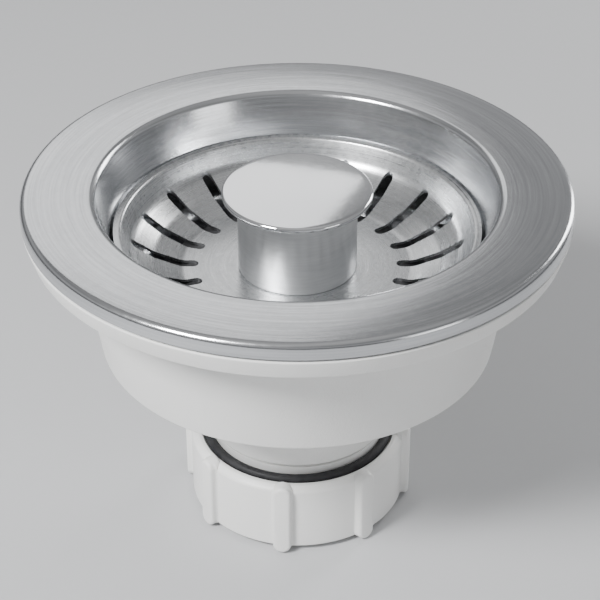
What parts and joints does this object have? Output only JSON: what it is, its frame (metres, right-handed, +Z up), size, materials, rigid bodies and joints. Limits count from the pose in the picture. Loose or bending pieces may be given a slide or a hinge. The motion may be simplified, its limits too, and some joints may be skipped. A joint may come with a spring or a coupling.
{
  "type": "basket strainer waste",
  "caption": "Kitchen sink waste with a flanged steel cup, a lift-out strainer basket with a round knob, a clamped plastic body and a ribbed outlet nut.",
  "frame": {"origin": "on the axis, in the plane where the steel flange's lower edge meets the sink", "axes": "+Z up along the axis, out of the sink; -Y towards the viewer of the reference drawing"},
  "size_m": [0.114, 0.114, 0.078],
  "materials": {
    "steel": "bright polished pressing",
    "basket_steel": "satin pressing",
    "screw_steel": "turned",
    "knob_chrome": "polished plating",
    "body_plastic": "white moulded polypropylene",
    "nut_plastic": "white moulded polypropylene",
    "stem_plastic": "moulded acetal",
    "seal_rubber": "black moulded rubber",
    "insert_brass": "turned"
  },
  "bodies": {
    "waste": {"flange_cup": "steel", "flange_seal": "seal_rubber", "clamp_screw": "screw_steel", "screw_washer": "seal_rubber", "brass_insert": "insert_brass", "lower_body": "body_plastic", "hub_spider": "body_plastic", "sink_gasket": "seal_rubber", "neck_ring": "seal_rubber"},
    "basket_slider": {"grip_ring": "seal_rubber"},
    "basket_unit": {"basket": "basket_steel", "knob_post": "knob_chrome", "knob_cap": "knob_chrome", "stem": "stem_plastic", "basket_seal": "seal_rubber", "seal_plate": "basket_steel", "knob_screw": "screw_steel", "knob_washer": "screw_steel"},
    "washer_slider": {"pipe_washer": "seal_rubber", "slip_ring": "nut_plastic"},
    "nut": {"outlet_nut": "nut_plastic"}
  },
  "joints": [
    {"name": "basket_lift", "type": "slide", "parent": "waste", "child": "basket_slider", "axis": [0, 0, 1], "range_m": [0, 0.045]},
    {"name": "basket_turn", "type": "hinge", "parent": "basket_slider", "child": "basket_unit", "pos_m": [0, 0, 0], "axis": [0, 0, 1], "continuous": true},
    {"name": "nut_travel", "type": "slide", "parent": "waste", "child": "washer_slider", "axis": [0, 0, -1], "range_m": [0, 0.00924]},
    {"name": "nut_turn", "type": "hinge", "parent": "washer_slider", "child": "nut", "pos_m": [0, 0, -0.066], "axis": [0, 0, -1], "range_deg": [0, 1440]}
  ],
  "couplings": [
    {"joint": "nut_travel", "follows": "nut_turn", "m_per_rad": 0.00036749}
  ]
}
